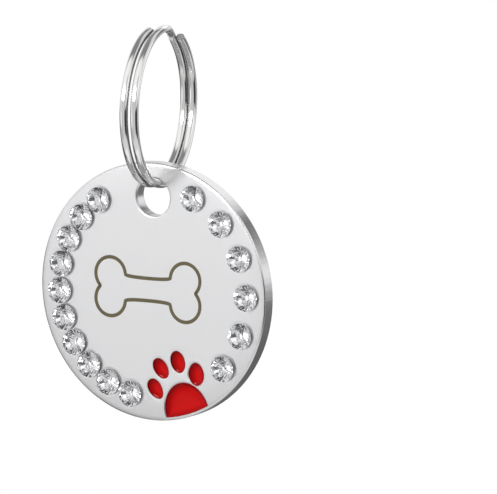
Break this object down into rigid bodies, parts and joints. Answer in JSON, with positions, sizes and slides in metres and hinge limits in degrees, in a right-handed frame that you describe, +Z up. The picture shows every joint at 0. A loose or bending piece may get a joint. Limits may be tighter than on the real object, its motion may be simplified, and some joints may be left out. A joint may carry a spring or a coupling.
{
  "type": "pet id tag",
  "caption": "Round metal pet tag set with crystals and an enamel paw print, swinging on a split ring that hangs from a collar.",
  "frame": {"origin": "inside top of the split ring, where the loop of a collar bears", "axes": "+Z up, with the disc hanging below the ring; the disc's front faces -Y and +X is to its right"},
  "size_m": [0.03, 0.0188, 0.0458],
  "materials": {
    "disc_steel": "satin polished steel",
    "ring_nickel": "bright nickel plate",
    "crystal": "clear cut glass with a foiled back",
    "cement": "cured jewellery cement",
    "enamel_red": "glossy soft enamel"
  },
  "bodies": {
    "ring": {"split_ring": "ring_nickel"},
    "tag": {"tag_disc": "disc_steel", "stone_cement": "cement", "enamel_pad": "enamel_red", "enamel_toe_1": "enamel_red", "enamel_toe_2": "enamel_red", "enamel_toe_3": "enamel_red", "enamel_toe_4": "enamel_red", "stone_01": "crystal", "stone_02": "crystal", "stone_03": "crystal", "stone_04": "crystal", "stone_05": "crystal", "stone_06": "crystal", "stone_07": "crystal", "stone_08": "crystal", "stone_09": "crystal", "stone_10": "crystal", "stone_11": "crystal", "stone_12": "crystal", "stone_13": "crystal", "stone_14": "crystal", "stone_15": "crystal", "stone_16": "crystal"}
  },
  "joints": [
    {"name": "tag_swing", "type": "hinge", "parent": "ring", "child": "tag", "pos_m": [0, -0.0005, -0.019], "axis": [0, 1, 0], "range_deg": [-110, 110]}
  ]
}
